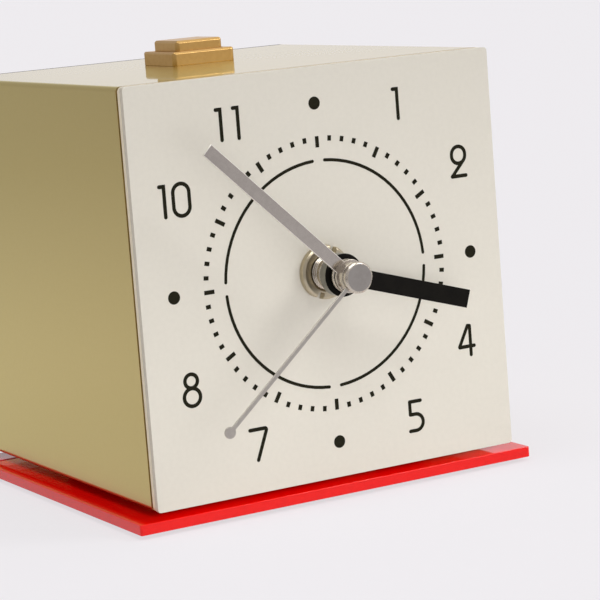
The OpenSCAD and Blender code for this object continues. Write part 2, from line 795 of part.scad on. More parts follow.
module battery_door() {
  ridge = 0.5;
  ridge_step = 2;
  color("dimgray") dial_frame() translate([0, -battery_drop, 0]) {
    slab(door_len, door_w, edge_r, door_in - door_t, door_in);
    for (sx = [-1, 1])
      translate([sx * tab_x - tab_len / 2, -door_w / 2 - tab_w, door_in - tab_t])
        cube([tab_len, door_w + 2 * tab_w, tab_t]);
    for (k = [0 : 3])
      translate([door_len / 2 - 4 - k * ridge_step, -door_w / 4, door_in - door_t - ridge])
        cube([ridge_step / 2, door_w / 2, ridge + eps]);
  }
}

module battery_leads() {
  color("firebrick") dial_frame() for (route = battery_routes) lead(route);
}

// Movement

module movement_front() {
  inner = move_w - 2 * move_wall;
  color("gainsboro") movement_frame() difference() {
    union() {
      difference() {
        slab(move_w, move_w, move_corner_r, plate_back, move_front);
        slab(inner, inner, move_corner_r - move_wall / 2, plate_back - eps, front_in);
      }
      bar(tube_r, front_in, tube_front);
      for (p = posts) translate([p[0], p[1], 0]) bar(post_r, plate_front, front_in + eps);
      translate([motion_at[0], motion_at[1], 0]) bar(stud_r, motion_layer - layer_gap / 2, front_in + eps);
    }
    bar(hour_r + run_gap, front_in - eps, tube_front + eps);
    translate([third_at[0], third_at[1], 0]) bar(arbor_r + run_gap, front_in - eps, front_in + pivot_depth);
    translate([setting_at[0], setting_at[1], 0])
      bar(stem_pivot_r + run_gap, front_in - eps, front_in + pivot_depth);
  }
}

module middle_plate() {
  color("whitesmoke") movement_frame() difference() {
    translate([0, (plate_top - plate_bottom) / 2, 0])
      slab(2 * plate_half_w, plate_top + plate_bottom, post_r, plate_back, plate_front);
    bar(second_r + run_gap, plate_back - eps, plate_front + eps);
    for (p = [third_at, inter_at, rotor_at])
      translate([p[0], p[1], 0]) bar(arbor_r + run_gap, plate_back - eps, plate_front + eps);
    translate([setting_at[0], setting_at[1], 0]) bar(stem_r + run_gap, plate_back - eps, plate_front + eps);
  }
}

module movement_rear() {
  inner = move_w - 2 * move_wall;
  color("gainsboro") movement_frame() difference() {
    slab(move_w, move_w, move_corner_r, move_back, plate_back);
    slab(inner, inner, move_corner_r - move_wall / 2, rear_in, plate_back + eps);
    bar(second_r + run_gap, rear_in - pivot_depth, rear_in + eps);
    for (p = [inter_at, rotor_at])
      translate([p[0], p[1], 0]) bar(arbor_r + run_gap, rear_in - pivot_depth, rear_in + eps);
    translate([setting_at[0], setting_at[1], 0]) bar(stem_r + run_gap, move_back - eps, rear_in + eps);
    for (y = pin_rows) translate([pin_x, y, 0]) bar(pin_r + hole_gap, move_back - eps, rear_in + eps);
  }
}

module rubber_washer() {
  color("black") movement_frame() difference() {
    bar(washer_r, move_front, panel_back);
    bar(tube_r + tube_gap, move_front - eps, panel_back + eps);
  }
}

module mounting_nut() {
  bevel = nut_t / 4;
  color("silver") movement_frame() difference() {
    rotate_extrude() polygon([
      [tube_r + run_gap, 0], [nut_r, 0], [nut_r, nut_t - bevel],
      [nut_r - bevel, nut_t], [tube_r + run_gap, nut_t]]);
    rotate(-notch_angle) for (turn = [0, 180]) rotate(turn)
      translate([-notch_w / 2, nut_r - notch_depth, -eps])
        cube([notch_w, notch_depth + eps, nut_t + 2 * eps]);
  }
}

module stator() {
  leg_end = coil_y - stator_leg / 2;
  bar_low = rotor_at[1] - stator_bar / 2;
  color("silver") movement_frame() translate([0, 0, plate_back - stator_t])
    linear_extrude(stator_t) difference() {
      union() {
        translate([stator_left, bar_low]) square([stator_right - stator_left, stator_bar]);
        for (x = [stator_left, stator_right - stator_leg])
          translate([x, leg_end]) square([stator_leg, bar_low - leg_end + eps]);
      }
      translate(rotor_at) circle(magnet_r + magnet_gap);
    }
}

module coil() {
  from = stator_left + stator_leg;
  length = stator_right - stator_leg - from;
  flange_t = 1;
  flange_r = coil_r + bobbin_rim;
  color("chocolate") movement_frame() translate([from, coil_y, plate_back - stator_t / 2]) rotate([0, 90, 0])
    rotate_extrude() polygon([
      [0, 0], [flange_r, 0], [flange_r, flange_t], [coil_r, flange_t],
      [coil_r, length - flange_t], [flange_r, length - flange_t], [flange_r, length], [0, length]]);
}

module circuit_board() {
  board_back = plate_back - board_t;
  color("forestgreen") movement_frame() {
    translate([pin_x - board_w / 2, -board_h / 2, board_back]) cube([board_w, board_h, board_t]);
    translate([pin_x - chip_w / 2, -chip_h / 2, board_back - chip_t]) cube([chip_w, chip_h, chip_t + eps]);
    translate([pin_x - board_w / 2 + crystal_edge + crystal_r, crystal_edge - board_h / 2,
               board_back - crystal_r + eps])
      rotate([-90, 0, 0]) cylinder(r = crystal_r, h = crystal_len);
  }
}

module board_pins() {
  color("goldenrod") movement_frame() for (y = pin_rows)
    translate([pin_x, y, 0]) bar(pin_r, pin_end, plate_back - board_t);
}

// Wheels, from the rotor to the hour hand

module rotor() {
  phase = mesh_phase(intermediate_teeth, pinion_teeth, rotor_dir);
  color("gray") movement_frame() translate([rotor_at[0], rotor_at[1], 0]) {
    bar(arbor_r, rear_in - pivot_depth / 2, plate_front - layer_gap / 2);
    gear(pinion_teeth, fast_module, pinion_form, phase, rotor_layer);
    bar(magnet_r, plate_back - layer_gap / 2 - gear_t, plate_back - layer_gap / 2);
  }
}

module intermediate_wheel() {
  phase = mesh_phase(second_teeth, pinion_teeth, inter_dir);
  color("ivory") movement_frame() translate([inter_at[0], inter_at[1], 0]) {
    bar(arbor_r, rear_in - pivot_depth / 2, plate_front - layer_gap / 2);
    gear(intermediate_teeth, fast_module, wheel_form, 0, rotor_layer);
    gear(pinion_teeth, fast_module, pinion_form, phase, second_layer);
    bar(arbor_r + layer_gap, rotor_layer, second_layer + eps);
  }
}

module second_wheel() {
  phase = mesh_phase(third_teeth, pinion_teeth, third_dir + 180);
  cap_inside = second_h + cap_len / 2;
  color("ivory") movement_frame() {
    bar(second_r, rear_in - pivot_depth / 2, cap_inside);
    gear(second_teeth, fast_module, wheel_form, 0, second_layer);
    gear(pinion_teeth, third_module, pinion_form, phase, third_layer);
  }
}

module third_wheel() {
  phase = mesh_phase(minute_teeth, pinion_teeth, third_dir);
  color("ivory") movement_frame() translate([third_at[0], third_at[1], 0]) {
    bar(arbor_r, plate_back + layer_gap / 2, front_in + pivot_depth / 2);
    gear(third_teeth, third_module, wheel_form, 0, third_layer);
    gear(pinion_teeth, minute_module, pinion_form, phase, minute_layer);
    bar(arbor_r + layer_gap, third_layer, minute_layer + eps);
  }
}

module minute_wheel() {
  phase = mesh_phase(motion_teeth, cannon_teeth, motion_dir + 180);
  color("ivory") movement_frame() difference() {
    union() {
      bar(minute_r, minute_layer, minute_top);
      gear(minute_teeth, minute_module, wheel_form, 0, minute_layer);
      gear(cannon_teeth, motion_module, pinion_form, phase, motion_layer);
    }
    bar(second_r + run_gap, minute_layer - eps, minute_top + eps);
  }
}

module motion_wheel() {
  phase = mesh_phase(hour_teeth, pinion_teeth, motion_dir);
  color("ivory") movement_frame() translate([motion_at[0], motion_at[1], 0]) difference() {
    union() {
      gear(motion_teeth, motion_module, wheel_form, 0, motion_layer);
      gear(pinion_teeth, hour_module, pinion_form, phase, hour_layer);
      bar(stud_r + layer_gap, motion_layer, hour_layer + eps);
    }
    bar(stud_r + run_gap, motion_layer - eps, hour_layer + gear_t + eps);
  }
}

module hour_wheel() {
  color("ivory") movement_frame() difference() {
    union() {
      bar(hour_r, hour_layer, hour_h);
      gear(hour_teeth, hour_module, wheel_form, 0, hour_layer);
    }
    bar(minute_r + run_gap, hour_layer - eps, hour_h + eps);
  }
}

module setting_stem() {
  phase = mesh_phase(motion_teeth, cannon_teeth, setting_dir);
  color("silver") movement_frame() translate([setting_at[0], setting_at[1], 0]) {
    bar(stem_r, floor_out - knob_gap - knob_len / 2, motion_layer + eps);
    gear(cannon_teeth, motion_module, pinion_form, phase, motion_layer);
    bar(stem_pivot_r, motion_layer, front_in + pivot_depth / 2);
  }
}

module setting_knob() {
  front = floor_out - knob_gap;
  collar = 1;
  color("black") movement_frame() translate([setting_at[0], setting_at[1], 0]) difference() {
    union() {
      translate([0, 0, front - knob_len]) linear_extrude(knob_len - collar)
        polygon([for (k = [0 : 4 * knob_ridges - 1])
          let (r = k % 4 < 2 ? knob_r : knob_r - knob_ridge, angle = 90 * k / knob_ridges)
          r * [cos(angle), sin(angle)]]);
      bar(knob_r - 2 * knob_ridge, front - collar - eps, front);
    }
    bar(stem_r + seat_gap, front - knob_len / 2 - eps, front + eps);
  }
}

// Hands

// A straight blade from the axis towards twelve
module blade(width, length, face) {
  translate([-width / 2, 0, face - blade_t]) cube([width, length, blade_t]);
}

module hour_hand() {
  color("black") movement_frame() rotate(-hour_angle) difference() {
    union() {
      blade(hour_w, hour_len, hour_h);
      bar(hour_boss_r, hour_h - hour_boss_len, hour_h);
    }
    bar(hour_r + seat_gap, hour_h - hour_boss_len - eps, hour_h + eps);
  }
}

module minute_hand() {
  color("darkgray") movement_frame() rotate(-minute_angle) difference() {
    union() {
      blade(minute_w, minute_len, minute_h);
      bar(minute_boss_r, minute_h - minute_boss_len, minute_h);
      bar(minute_collar_r, minute_h - blade_t, minute_top);
    }
    bar(minute_r + seat_gap, minute_h - minute_boss_len - eps, minute_top + eps);
  }
}

module second_hand() {
  color("darkgray") movement_frame() rotate(-second_angle) difference() {
    union() {
      blade(second_w, second_len, second_h);
      translate([0, second_len, 0]) bar(second_disc_r, second_h - blade_t, second_h);
      bar(second_boss_r, second_h - second_boss_len, second_h);
    }
    bar(second_r + seat_gap, second_h - second_boss_len - eps, second_h + eps);
  }
}

module second_cap() {
  top = second_h + cap_len;
  color("silver") movement_frame() difference() {
    union() {
      bar(cap_r, second_h, top - cap_chamfer);
      translate([0, 0, top - cap_chamfer]) cylinder(r1 = cap_r, r2 = cap_r - cap_chamfer, h = cap_chamfer);
    }
    bar(second_r + seat_gap, second_h - eps, second_h + cap_len / 2 + seat_gap);
  }
}

// Top button

// A square block with rounded corners and a chamfer round its top
module chamfered_block(w, r, from, to, chamfer) {
  half = w / 2;
  outline = [[-half, from], [half, from], [half, to - chamfer],
    [half - chamfer, to], [chamfer - half, to], [-half, to - chamfer]];
  intersection() {
    slab(w, w, r, from, to);
    rotate([90, 0, 0]) translate([0, 0, -half]) linear_extrude(w) polygon(outline);
    rotate([90, 0, 90]) translate([0, 0, -half]) linear_extrude(w) polygon(outline);
  }
}

module button_housing() {
  pocket_w = key_w + 2 * key_gap;
  color("peru") button_frame() difference() {
    union() {
      chamfered_block(bezel_w, bezel_corner_r, 0, bezel_t, bezel_chamfer);
      bar(barrel_r, -barrel_len, eps);
    }
    slab(pocket_w, pocket_w, key_corner_r + key_gap, pocket_floor, bezel_t + eps);
    bar(plunger_r + run_gap, barrel_in, pocket_floor + eps);
    bar(plunger_r + collar_w + collar_gap, barrel_in, collar_top + run_gap);
    for (sx = [-1, 1]) translate([sx * button_pin_x, 0, 0])
      bar(pin_r + hole_gap, -barrel_len - eps, barrel_in + eps);
  }
}

module button_nut() {
  color("silver") button_frame() difference() {
    translate([0, 0, -sleeve_wall - button_nut_t]) cylinder(r = button_nut_r, h = button_nut_t, $fn = 6);
    bar(barrel_r + hole_gap, -sleeve_wall - button_nut_t - eps, -sleeve_wall + eps);
  }
}

module top_button() {
  color("peru") button_frame() {
    chamfered_block(key_w, key_corner_r, key_bottom, key_bottom + key_t, key_chamfer);
    bar(plunger_r, plunger_bottom, key_bottom + eps);
    bar(plunger_r + collar_w, plunger_bottom, collar_top);
  }
}

module button_spring() {
  color("silver") button_frame() translate([0, 0, barrel_in])
    spring(spring_r, spring_r, spring_wire_r, spring_len, spring_turns);
}

module button_pins() {
  color("goldenrod") button_frame() for (sx = [-1, 1])
    translate([sx * button_pin_x, 0, 0]) bar(pin_r, -barrel_len - button_pin_out, button_pin_top);
}

module switch_leads() {
  color("firebrick") dial_frame() for (route = switch_routes) lead(route);
}

base_pad();
base_plate();
base_spacers();
base_screws();
base_nuts();
case_sleeve();
dial_plate();
dial_carrier();
rear_cover();
tie_bolts();
battery();
battery_contacts();
battery_spring();
battery_door();
battery_leads();
movement_front();
movement_rear();
middle_plate();
rubber_washer();
mounting_nut();
stator();
coil();
circuit_board();
board_pins();
rotor();
intermediate_wheel();
second_wheel();
third_wheel();
minute_wheel();
motion_wheel();
hour_wheel();
hour_hand();
minute_hand();
second_hand();
second_cap();
setting_stem();
setting_knob();
button_housing();
button_nut();
top_button();
button_spring();
button_pins();
switch_leads();
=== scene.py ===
import itertools
import math
import bmesh
import bpy
from mathutils import Matrix, Vector


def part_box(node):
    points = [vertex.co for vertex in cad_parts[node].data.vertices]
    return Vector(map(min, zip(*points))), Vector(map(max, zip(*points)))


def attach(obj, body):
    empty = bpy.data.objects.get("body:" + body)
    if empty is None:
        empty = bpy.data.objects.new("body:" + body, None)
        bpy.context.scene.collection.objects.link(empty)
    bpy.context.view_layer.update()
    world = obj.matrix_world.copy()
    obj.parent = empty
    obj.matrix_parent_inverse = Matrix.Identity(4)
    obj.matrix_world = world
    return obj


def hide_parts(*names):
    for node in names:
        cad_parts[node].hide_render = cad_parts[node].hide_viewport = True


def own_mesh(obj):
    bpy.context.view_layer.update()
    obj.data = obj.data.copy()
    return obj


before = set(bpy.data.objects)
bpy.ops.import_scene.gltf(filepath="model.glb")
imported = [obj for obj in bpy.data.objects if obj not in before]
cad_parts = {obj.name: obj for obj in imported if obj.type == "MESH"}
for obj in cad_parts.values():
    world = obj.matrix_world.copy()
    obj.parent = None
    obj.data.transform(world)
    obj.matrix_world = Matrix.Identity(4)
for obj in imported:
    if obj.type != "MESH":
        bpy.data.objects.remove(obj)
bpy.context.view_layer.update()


# Camera: a long lens to the left of the dial and a little above its middle.
# It stands half a metre in front of the dial plate, rolled slightly, with the frame lowered a little.
picture_side, frame_drop = 600, 19
camera_place = (-0.28166, -0.54790, 0.13578)
camera_lens = bpy.data.cameras.new("camera")
camera_lens.lens = 150.13
camera_lens.sensor_width = 36
camera_lens.shift_y = -frame_drop / picture_side
camera = bpy.data.objects.new("camera", camera_lens)
camera_right = Vector((0.86782194, -0.49101678, -0.07607632))
camera_up = Vector((0.13695916, 0.08920866, 0.98655157))
camera_back = Vector((-0.47762671, -0.86657045, 0.14466647))
camera_turn = Matrix((camera_right, camera_up, camera_back)).transposed().to_4x4()
camera.matrix_world = Matrix.Translation(camera_place) @ camera_turn
bpy.context.scene.collection.objects.link(camera)
bpy.context.scene.camera = camera
bpy.context.scene.view_settings.view_transform = "Standard"


# Studio: a pale paper floor, soft light from all round, two large lamps and a low card in front.
# Two faint lamps in the gap over the base plate stand for the light that its lacquer throws about.
# The paper's colour is what shows behind the clock and in its polished pieces.
def tint(red, green, blue):
    """The linear colour of a tint that is given in levels of 0 to 255."""
    parts = [c / 255 for c in (red, green, blue)]
    return [c / 12.92 if c <= 0.04045 else ((c + 0.055) / 1.055) ** 2.4 for c in parts] + [1]


def add_node(tree, kind, operation=None, **values):
    """Adds a shader node, with its operation and the values of its sockets."""
    node = tree.nodes.new("ShaderNode" + kind)
    if operation:
        node.operation = operation
    for socket, value in values.items():
        node.inputs[socket.replace("_", " ")].default_value = value
    return node


def combine(tree, operation, first, second):
    """Puts two values together by an operation of arithmetic."""
    node = add_node(tree, "Math", operation)
    tree.links.new(first, node.inputs[0])
    tree.links.new(second, node.inputs[1])
    return node.outputs[0]


def ramp(tree, value, low, high, start, end):
    """Runs from start to end while a value goes from low to high."""
    node = add_node(tree, "MapRange", From_Min=low, From_Max=high, To_Min=start, To_Max=end)
    tree.links.new(value, node.inputs["Value"])
    return node.outputs["Result"]


def seen_ray(tree):
    """One for rays from the camera, and for what shows in polished or clear pieces."""
    ray = add_node(tree, "LightPath")
    straight = combine(tree, "MAXIMUM", ray.outputs["Is Camera Ray"], ray.outputs["Is Glossy Ray"])
    return combine(tree, "MAXIMUM", straight, ray.outputs["Is Transmission Ray"])


def full_to_camera(tree, strength):
    """One for rays from the camera, and the strength for all others."""
    ray = add_node(tree, "LightPath")
    return combine(tree, "MAXIMUM", strength, ray.outputs["Is Camera Ray"])


world = bpy.data.worlds.new("studio")
bpy.context.scene.world = world
world.use_nodes = True
studio = world.node_tree
studio.nodes.clear()
room_light = add_node(studio, "Background", Color=(1, 0.99, 0.97, 1), Strength=0.4)
backdrop = add_node(studio, "Background", Color=tint(237, 234, 237))
look = add_node(studio, "TexCoord")
look_parts = add_node(studio, "SeparateXYZ")
studio.links.new(look.outputs["Generated"], look_parts.inputs[0])
far_wall = ramp(studio, look_parts.outputs["X"], low=0.05, high=0.4, start=0.62, end=1)
studio.links.new(full_to_camera(studio, far_wall), backdrop.inputs["Strength"])
room = add_node(studio, "MixShader")
room_out = add_node(studio, "OutputWorld")
studio.links.new(seen_ray(studio), room.inputs["Fac"])
studio.links.new(room_light.outputs[0], room.inputs[1])
studio.links.new(backdrop.outputs[0], room.inputs[2])
studio.links.new(room.outputs[0], room_out.inputs["Surface"])


def hang(light, stand):
    """Puts a light in the studio, in the place and turn of its stand."""
    holder = bpy.data.objects.new(light.name, light)
    holder.matrix_world = stand
    bpy.context.scene.collection.objects.link(holder)
    return holder


def shine_from(direction):
    """The turn of a light that shines from a direction."""
    return Vector(direction).to_track_quat("Z", "Y").to_matrix().to_4x4()


def lamp(name, direction, energy, spread):
    """A large lamp far away, whose spread in degrees softens its shadows."""
    light = bpy.data.lights.new(name, "SUN")
    light.energy = energy
    light.angle = math.radians(spread)
    hang(light, shine_from(direction))


def lit_card(name, stand, wide, deep, energy, spread=180, colour=(1, 1, 1)):
    """A small card of light, which brightens what it faces and isn't seen itself."""
    light = bpy.data.lights.new(name, "AREA")
    light.shape = "RECTANGLE"
    light.size, light.size_y = wide, deep
    light.energy = energy
    light.spread = math.radians(spread)
    light.color = colour
    holder = hang(light, stand)
    holder.visible_camera = holder.visible_glossy = False


lamp("key_lamp", (0.59, -0.44, 0.66), energy=1.0, spread=22)
lamp("top_lamp", (-0.15, -0.2, 0.97), energy=1.3, spread=40)
card_stand = Matrix.Translation((0.02, -0.21, 0.03)) @ shine_from((0, -1, 0))
lit_card("low_card", card_stand, wide=0.2, deep=0.03, energy=0.013, spread=75)
gap_height, red_glow = 0.0051, (1, 0.06, 0.04)
front_gap = Matrix.Translation((0, -0.0472, gap_height))
lit_card("front_gap_glow", front_gap, wide=0.094, deep=0.005, energy=0.001, colour=red_glow)
left_gap = Matrix.Translation((-0.0455, 0, gap_height))
lit_card("left_gap_glow", left_gap, wide=0.005, deep=0.09, energy=0.00012, colour=red_glow)

paper = bmesh.new()
bmesh.ops.create_circle(paper, cap_ends=True, segments=96, radius=6)
paper_mesh = bpy.data.meshes.new("paper_floor")
paper.to_mesh(paper_mesh)
paper.free()
floor = bpy.data.objects.new("paper_floor", paper_mesh)
bpy.context.scene.collection.objects.link(floor)
paper_finish = bpy.data.materials.new("white_paper")
paper_finish.use_nodes = True
paper_tree = paper_finish.node_tree
paper_tree.nodes.clear()
lit_paper = add_node(paper_tree, "BsdfDiffuse", Color=tint(236, 234, 236))
soft_paper = add_node(paper_tree, "BsdfDiffuse", Color=tint(118, 116, 118))
glow = add_node(paper_tree, "Emission", Color=tint(214, 212, 215))
paper_where = add_node(paper_tree, "TexCoord")
behind = add_node(paper_tree, "Mapping", Location=(0, -0.15, 0))
far_off = add_node(paper_tree, "VectorMath", "LENGTH")
to_left = add_node(paper_tree, "VectorMath", "DOT_PRODUCT")
to_left.inputs[1].default_value = (-0.87, -0.48, 0)
paper_tree.links.new(paper_where.outputs["Object"], behind.inputs["Vector"])
paper_tree.links.new(behind.outputs["Vector"], far_off.inputs[0])
paper_tree.links.new(paper_where.outputs["Object"], to_left.inputs[0])
fall_off = ramp(paper_tree, far_off.outputs["Value"], low=0.15, high=0.75, start=0.97, end=0.6)
left_dim = ramp(paper_tree, to_left.outputs["Value"], low=0.1, high=0.3, start=1, end=0.3)
dimmed = combine(paper_tree, "MULTIPLY", fall_off, left_dim)
paper_tree.links.new(full_to_camera(paper_tree, dimmed), glow.inputs["Strength"])
shown_paper = add_node(paper_tree, "AddShader")
paper_mix = add_node(paper_tree, "MixShader")
paper_out = add_node(paper_tree, "OutputMaterial")
paper_tree.links.new(soft_paper.outputs[0], shown_paper.inputs[0])
paper_tree.links.new(glow.outputs[0], shown_paper.inputs[1])
paper_tree.links.new(seen_ray(paper_tree), paper_mix.inputs["Fac"])
paper_tree.links.new(lit_paper.outputs[0], paper_mix.inputs[1])
paper_tree.links.new(shown_paper.outputs[0], paper_mix.inputs[2])
paper_tree.links.new(paper_mix.outputs[0], paper_out.inputs["Surface"])
paper_mesh.materials.append(paper_finish)


# Non-slip pad: a sheet of black rubber glued under the base plate.
# It hides the heads of the base screws, and has the dull cast skin of sheet rubber.
def finish(name, low, high, blotch, rough, bump, grain, **sockets):
    """A surface whose colour drifts between two tints and whose skin has a fine grain.

    Blotch and grain are the cells of the drift and of the skin to a metre, rough is the least and the
    most roughness, bump is the height of the grain in metres, and the rest are the shader's own sockets.
    """
    material = bpy.data.materials.new(name)
    material.use_nodes = True
    tree = material.node_tree
    shader = tree.nodes["Principled BSDF"]
    where = add_node(tree, "TexCoord")
    drift = add_node(tree, "TexNoise", Scale=blotch, Detail=4)
    tints = add_node(tree, "ValToRGB")
    for stop, position, levels in zip(tints.color_ramp.elements, (0.35, 0.65), (low, high)):
        stop.position = position
        stop.color = tint(*levels)
    skin = add_node(tree, "TexNoise", Scale=grain, Detail=3)
    relief = add_node(tree, "Bump", Strength=1, Distance=bump)
    gloss = ramp(tree, skin.outputs["Fac"], low=0.3, high=0.7, start=rough[0], end=rough[1])
    tree.links.new(where.outputs["Object"], drift.inputs["Vector"])
    tree.links.new(where.outputs["Object"], skin.inputs["Vector"])
    tree.links.new(drift.outputs["Fac"], tints.inputs["Fac"])
    tree.links.new(tints.outputs["Color"], shader.inputs["Base Color"])
    tree.links.new(gloss, shader.inputs["Roughness"])
    tree.links.new(skin.outputs["Fac"], relief.inputs["Height"])
    tree.links.new(relief.outputs["Normal"], shader.inputs["Normal"])
    for socket, value in sockets.items():
        shader.inputs[socket.replace("_", " ")].default_value = value
    return material


def dress(node, material):
    """Gives a solid of the CAD model its finish."""
    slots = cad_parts[node].data.materials
    slots.clear()
    slots.append(material)


sheet_rubber = finish("sheet_rubber", (26, 26, 27), (36, 36, 37), blotch=300, rough=(0.75, 0.95),
                      bump=2e-5, grain=2500)
dress("base_pad", sheet_rubber)


# Base plate: a flat steel plate, spray-painted with red gloss lacquer.
# The lacquer rounds over the cut edges and has a faint orange-peel skin.
def merged_copy(node):
    """A welded copy of a CAD solid, with its flat faces in one piece."""
    bm = bmesh.new()
    bm.from_mesh(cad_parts[node].data)
    bmesh.ops.remove_doubles(bm, verts=bm.verts, dist=1e-6)
    bmesh.ops.dissolve_limit(bm, angle_limit=math.radians(0.3), verts=bm.verts, edges=bm.edges)
    return bm


def soften(bm, width, segments=3, sharp=40, clamp=True, wanted=lambda middle: True):
    """Rounds over the outer edges of a piece that are sharper than an angle and wanted by their place."""
    edges = [e for e in bm.edges if e.is_manifold and e.is_convex
             and e.calc_face_angle() > math.radians(sharp)
             and wanted((e.verts[0].co + e.verts[1].co) / 2)]
    bmesh.ops.bevel(bm, geom=edges, offset=width, offset_type="OFFSET", affect="EDGES",
                    segments=segments, profile=0.5, material=-1, clamp_overlap=clamp)


def make_piece(name, bm, body, slot, material, *nodes):
    """Turns a bmesh into a piece of the clock that rides on a body and stands for its solids."""
    mesh = bpy.data.meshes.new(name)
    bm.to_mesh(mesh)
    bm.free()
    mesh.materials.clear()
    mesh.materials.append(material)
    mesh.shade_smooth()
    mesh.set_sharp_from_angle(angle=math.radians(38))
    piece = bpy.data.objects.new(name, mesh)
    bpy.context.scene.collection.objects.link(piece)
    even = piece.modifiers.new("even_faces", "WEIGHTED_NORMAL")
    even.keep_sharp = True
    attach(piece, body)
    if nodes:
        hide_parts(*nodes)
    return piece


red_lacquer = finish("red_lacquer", (236, 11, 5), (240, 13, 6), blotch=400, rough=(0.3, 0.36),
                     bump=1e-6, grain=700, Specular_IOR_Level=0, Coat_Weight=1, Coat_Roughness=0.03,
                     Coat_IOR=1.42)
plate = merged_copy("base_plate")
soften(plate, width=0.0004, segments=4)
make_piece("lacquered_plate", plate, "case", "red_lacquer", red_lacquer, "base_plate")


# Base fixings: four moulded spacer discs, countersunk screws from below, and steel press nuts.
# The screws pull the plate and the spacers against the underside of the sleeve.
black_moulding = finish("black_moulding", (22, 21, 20), (30, 29, 28), blotch=200, rough=(0.38, 0.5),
                        bump=6e-6, grain=3000)
bright_steel = finish("bright_steel", (176, 174, 170), (196, 194, 190), blotch=800, rough=(0.25, 0.4),
                      bump=3e-6, grain=4000, Metallic=1)
dress("base_spacers", black_moulding)
dress("base_screws", bright_steel)
dress("base_nuts", bright_steel)


# Case sleeve: a square tube of sheet, sprayed in satin gold under a clear gloss coat.
# Its corners are folded round, and its cut front and rear edges are dressed smooth.
gold_coat = finish("gold_coat", (188, 168, 114), (192, 172, 118), blotch=5000, rough=(0.29, 0.33),
                   bump=2e-7, grain=900, Metallic=1, Specular_Tint=(1, 0.97, 0.5, 1), Coat_Weight=0.9,
                   Coat_Roughness=0.03, Coat_IOR=1.3)
sleeve = merged_copy("case_sleeve")
body_middle, half_side = 0.0533, 0.048
sheet_skin, corner_r, near_end = 0.0007, 0.0015, 0.04
soften(sleeve, width=0.0011, segments=5, clamp=False,
       wanted=lambda p: p.y < -near_end and abs(p.x) > half_side - sheet_skin
       and abs(p.z - body_middle) < half_side - corner_r)
soften(sleeve, width=0.0003, wanted=lambda p: p.y > near_end)
make_piece("gold_sleeve", sleeve, "case", "gold_sheet", gold_coat, "case_sleeve")


# Dial carrier: a cream moulded panel whose plug ring fits inside the sleeve.
# Its edge shows as a pale line between the dial plate and the dark gap.
cream_moulding = finish("cream_moulding", (228, 215, 188), (234, 222, 196), blotch=120,
                        rough=(0.4, 0.5), bump=4e-6, grain=2500)
carrier = merged_copy("dial_carrier")
carrier_edge = -0.046
soften(carrier, width=0.0002, wanted=lambda p: p.y < carrier_edge)
make_piece("cream_carrier", carrier, "case", "cream_plastic", cream_moulding, "dial_carrier")


# Dial plate: a thin square plate, painted cream with a fine matt texture.
# It lies on the carrier, held by the nut on the movement's tube.
dial_paint = finish("dial_paint", (224, 219, 207), (226, 221, 209), blotch=900, rough=(0.5, 0.62),
                    bump=3e-6, grain=2200, Specular_IOR_Level=0.25)
dial = merged_copy("dial_plate")
dial_front = -0.05
soften(dial, width=0.00012, wanted=lambda p: p.y < dial_front + 0.0001)
dial_piece = make_piece("cream_dial_plate", dial, "case", "cream_dial", dial_paint, "dial_plate")
# The plate's edge and back faces take a greyer, darker tint than its painted front.
greyer_dial_edge = finish("greyer_dial_edge", (198, 189, 173), (206, 197, 181), blotch=900, rough=(0.35, 0.45),
                  bump=2e-6, grain=4000)
dial_piece.data.materials.append(greyer_dial_edge)
front_facing = -0.3
for face in dial_piece.data.polygons:
    if face.normal.y > front_facing:
        face.material_index = 1


# Dial print: ticks, dots, ring and numbers screen-printed in black ink on the dial plate.
# Each stroke is drawn as a pen draws it: straight runs and arcs of one width, a thin skin of ink.
# Where strokes cross, the later one lies a hair above the earlier one.
dial_mm = (Matrix.Translation((0, dial_front, body_middle)) @ Matrix.Rotation(math.radians(90), 4, "X")
           @ Matrix.Scale(0.001, 4))
ink_sheet = bmesh.new()
ink_top, ink_depth, hair = 0.02, 0.05, 0.001
strokes_laid = itertools.count()


def disc(x, y, radius, segments=20, lift=0):
    """Prints a round dot or the round end of a stroke."""
    bmesh.ops.create_circle(ink_sheet, cap_ends=True, segments=segments, radius=radius,
                            matrix=Matrix.Translation((x, y, lift)))


def pen(width, x, y, heading, *moves, ends="rr"):
    """Draws a stroke: a move of one number runs straight, one of (radius, turn) bends left by turn.

    Each of its two ends is round or straight, r or s.
    """
    lift = next(strokes_laid) % 8 * 2 * hair
    at, aim = Vector((x, y, lift)), math.radians(heading)
    nib = [Vector((-math.sin(aim), math.cos(aim), 0)) * width * side for side in (0.5, -0.5)]
    last = [ink_sheet.verts.new(at + n) for n in nib]
    line = [ink_sheet.edges.new(last)]
    if ends[0] == "r":
        disc(x, y, width / 2, lift=lift + hair)
    for move in moves:
        if isinstance(move, tuple):
            radius, turn = move
            side = math.copysign(1, turn)
            centre = at + Vector((-math.sin(aim), math.cos(aim), 0)) * radius * side
            steps = max(4, int(abs(turn) / 4))
            spun = bmesh.ops.spin(ink_sheet, geom=last + line, cent=centre, axis=(0, 0, 1),
                                  angle=math.radians(turn), steps=steps)
            grown = spun["geom_last"]
            at = centre + Matrix.Rotation(math.radians(turn), 3, "Z") @ (at - centre)
            aim += math.radians(turn)
        else:
            grown = bmesh.ops.extrude_edge_only(ink_sheet, edges=line)["geom"]
            step = Vector((math.cos(aim), math.sin(aim), 0)) * move
            bmesh.ops.translate(ink_sheet, verts=[g for g in grown if isinstance(g, bmesh.types.BMVert)],
                                vec=step)
            at = at + step
        last = [g for g in grown if isinstance(g, bmesh.types.BMVert)]
        line = [g for g in grown if isinstance(g, bmesh.types.BMEdge)
                and all(v in last for v in g.verts)]
    if ends[1] == "r":
        disc(at.x, at.y, width / 2, lift=lift + hair)


